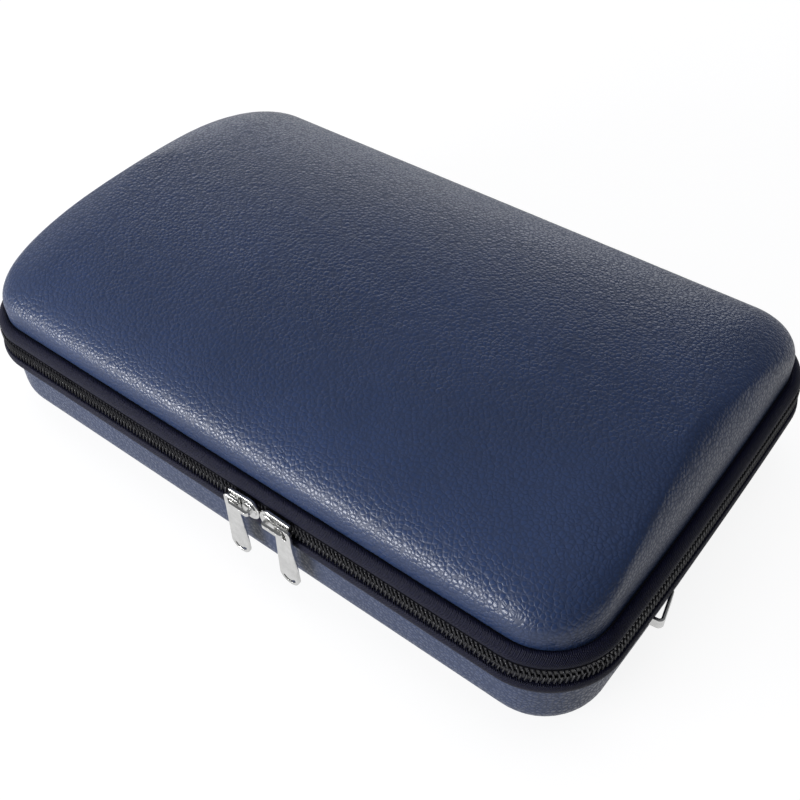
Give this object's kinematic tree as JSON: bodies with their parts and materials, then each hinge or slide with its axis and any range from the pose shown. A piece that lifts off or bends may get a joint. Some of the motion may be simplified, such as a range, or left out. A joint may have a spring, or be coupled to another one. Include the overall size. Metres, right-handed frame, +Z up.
{
  "type": "clarinet case",
  "caption": "Zipped clarinet case in navy grained leather with black rim bands, two-slider coil zipper, strap loops and plush-lined recesses",
  "frame": {"origin": "middle of the flat underside that the case rests on", "axes": "+X along the front edge, to the right as seen from the zipper pulls; -Y the front with the pulls; +Y the fabric hinge; +Z up"},
  "size_m": [0.3356, 0.2117, 0.0848],
  "materials": {
    "leather": "pebble-grained coated leather, satin",
    "piping": "smooth coated trim, satin",
    "tape": "woven zipper tape",
    "coil": "moulded nylon coil",
    "foam_board": "moulded foam shell",
    "foam": "soft foam",
    "plush": "short black pile",
    "nickel": "polished nickel plate",
    "zinc": "plain zinc-plated steel"
  },
  "bodies": {
    "base": {"base_skin": "leather", "base_shell": "foam_board", "base_foam": "foam", "base_lining": "plush", "base_band": "piping", "base_tape": "tape", "base_coil": "coil", "base_edge_binding": "tape", "chain_stops": "nickel", "strap_loop_right": "nickel", "strap_loop_left": "nickel", "loop_plate_right": "zinc", "loop_plate_left": "zinc", "hinge_strip": "tape", "hinge_lining": "tape"},
    "lid": {"lid_skin": "leather", "lid_shell": "foam_board", "lid_foam": "foam", "lid_lining": "plush", "lid_band": "piping", "lid_tape": "tape", "lid_coil": "coil", "lid_edge_binding": "tape"},
    "slider_right": {"slider_right": "nickel"},
    "slider_left": {"slider_left": "nickel"},
    "pull_right": {"pull_right": "nickel"},
    "pull_left": {"pull_left": "nickel"}
  },
  "joints": [
    {"name": "lid_hinge", "type": "hinge", "parent": "base", "child": "lid", "pos_m": [0, 0.103, 0.0443], "axis": [-1, 0, 0], "range_deg": [0, 170], "deforming": ["hinge_strip", "hinge_lining"]},
    {"name": "slider_left_run", "type": "slide", "parent": "base", "child": "slider_left", "axis": [-1, 0, 0], "range_m": [0, 0.137]},
    {"name": "slider_right_run", "type": "slide", "parent": "base", "child": "slider_right", "axis": [1, 0, 0], "range_m": [0, 0.093]},
    {"name": "pull_left_swing", "type": "hinge", "parent": "slider_left", "child": "pull_left", "pos_m": [0.00825, -0.1058, 0.0443], "axis": [0, -1, 0], "range_deg": [-90, 15]},
    {"name": "pull_right_swing", "type": "hinge", "parent": "slider_right", "child": "pull_right", "pos_m": [0.03535, -0.1058, 0.0443], "axis": [0, -1, 0], "range_deg": [-15, 90]}
  ]
}
